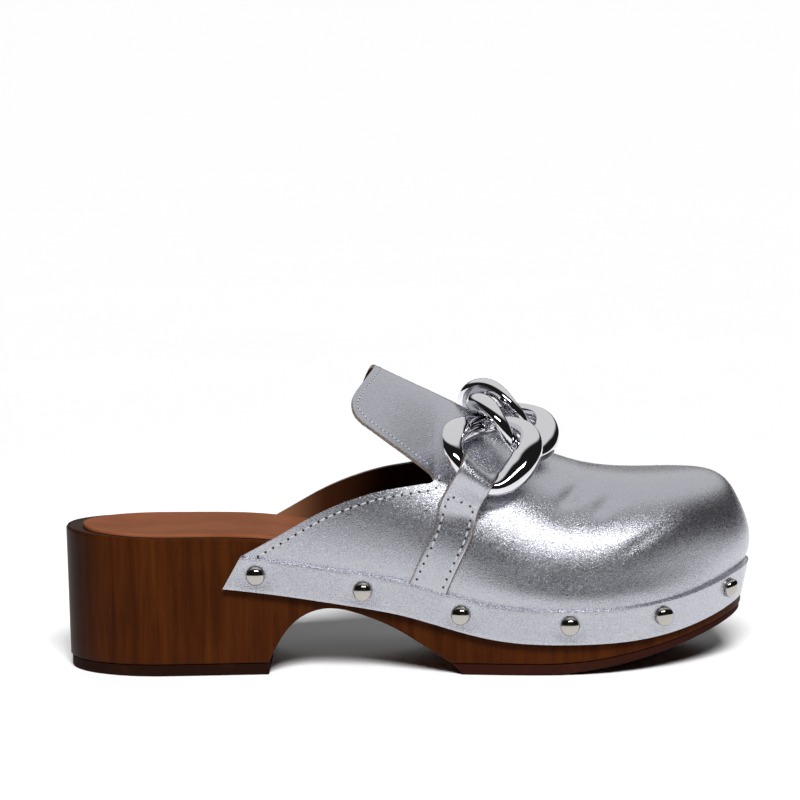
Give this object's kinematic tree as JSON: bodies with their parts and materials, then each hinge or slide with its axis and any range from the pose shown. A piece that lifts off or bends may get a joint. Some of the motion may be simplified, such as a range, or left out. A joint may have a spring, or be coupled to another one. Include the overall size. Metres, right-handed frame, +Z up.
{
  "type": "clog",
  "caption": "Backless closed-toe clog: metallic leather upper nailed to a carved wooden block-heel sole under a studded rand, with a chain over the instep.",
  "frame": {"origin": "middle of the shoe's bounding box, on the floor", "axes": "+X to the toe, +Y to the medial side, +Z up"},
  "size_m": [0.2603, 0.0969, 0.1125],
  "materials": {
    "wood": "stained, satin",
    "rubber": "matte",
    "insole_leather": "smooth tan",
    "silver_leather": "metallic silver, finely pebbled",
    "nickel": "polished",
    "chrome": "polished"
  },
  "bodies": {
    "root": {"wooden_sole": "wood", "heel_top_piece": "rubber", "forefoot_outsole": "rubber", "insole": "insole_leather", "upper": "silver_leather", "rand": "silver_leather", "strap_lateral": "silver_leather", "strap_medial": "silver_leather", "stud_01": "nickel", "stud_02": "nickel", "stud_03": "nickel", "stud_04": "nickel", "stud_05": "nickel", "stud_06": "nickel", "stud_07": "nickel", "stud_08": "nickel", "stud_09": "nickel", "stud_10": "nickel", "stud_11": "nickel", "stud_12": "nickel", "chain_link_lateral": "chrome", "chain_link_middle": "chrome", "chain_link_medial": "chrome"}
  },
  "joints": []
}
